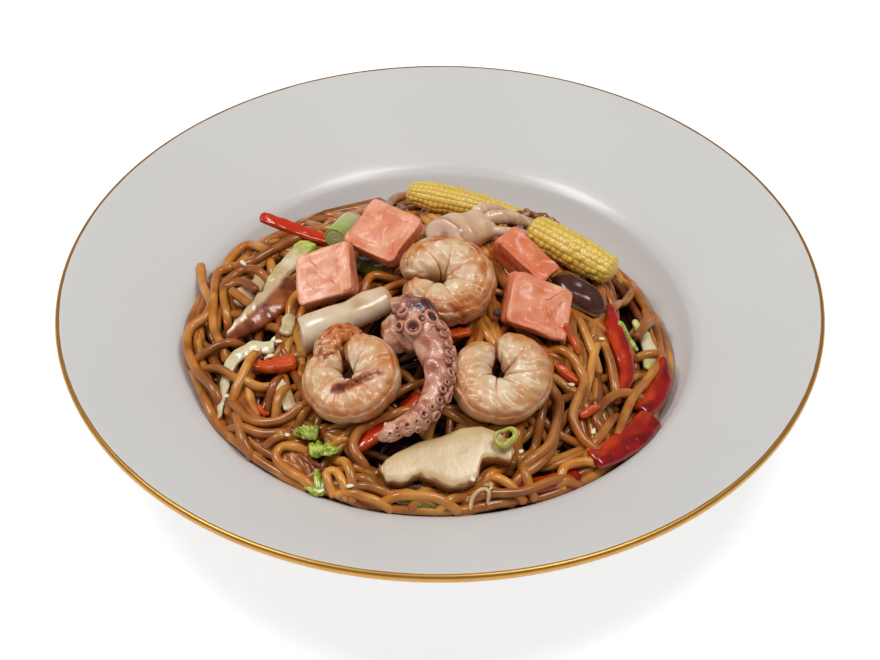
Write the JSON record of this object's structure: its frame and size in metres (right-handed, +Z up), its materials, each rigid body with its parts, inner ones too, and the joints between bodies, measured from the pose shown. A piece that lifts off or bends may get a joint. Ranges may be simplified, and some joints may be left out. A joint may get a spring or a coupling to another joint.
{
  "type": "seafood yakisoba on a plate",
  "caption": "Fried noodles heaped in the well of a wide-rimmed round plate, topped with shrimp, salmon, squid, octopus, corn, mushroom and cut vegetables.",
  "frame": {"origin": "centre of the plate's foot, on the surface it stands on", "axes": "+Z up, the plate's axis; +X to the right and +Y away from the eater"},
  "size_m": [0.3, 0.3, 0.0773],
  "materials": {
    "cabbage": "cooked cabbage and onion, translucent",
    "carrot": "cooked carrot, oily",
    "corn": "young corn, satin",
    "greens": "scallion, leek and green pepper, moist",
    "mushroom": "sliced mushroom, satin",
    "noodle": "soy-browned wheat noodles, oily",
    "octopus": "boiled octopus skin, moist",
    "pepper": "red pepper, glossy skin",
    "porcelain": "white glazed porcelain, gloss",
    "salmon": "salmon chunks, moist",
    "shiitake": "dark mushroom cap, oily",
    "shrimp": "seared peeled shrimp, moist",
    "squid": "squid, moist"
  },
  "bodies": {
    "root": {"cabbage_bent": "cabbage", "cabbage_right": "cabbage", "cabbage_short": "cabbage", "cabbage_stem": "cabbage", "carrot_left": "carrot", "carrot_middle": "carrot", "carrot_right": "carrot", "corn_left": "corn", "corn_right": "corn", "crisp_back": "mushroom", "green_pepper": "greens", "leaf_front": "greens", "leek_front": "greens", "mushroom_front": "mushroom", "mushroom_left": "mushroom", "noodles": "noodle", "octopus_arm": "octopus", "onion_slice": "cabbage", "pepper_back_left": "pepper", "pepper_front": "pepper", "pepper_middle": "pepper", "pepper_right_edge": "pepper", "pepper_right_low": "pepper", "pepper_right_tall": "pepper", "plate": "porcelain", "salmon_back_left": "salmon", "salmon_back_right": "salmon", "salmon_left": "salmon", "salmon_right": "salmon", "scallion_back": "greens", "scallion_front": "greens", "scallion_low": "greens", "scallion_ring": "greens", "shiitake_left": "shiitake", "shiitake_right": "shiitake", "shrimp_left": "shrimp", "shrimp_right": "shrimp", "shrimp_top": "shrimp", "squid_head": "squid", "squid_roll": "squid"}
  },
  "joints": []
}
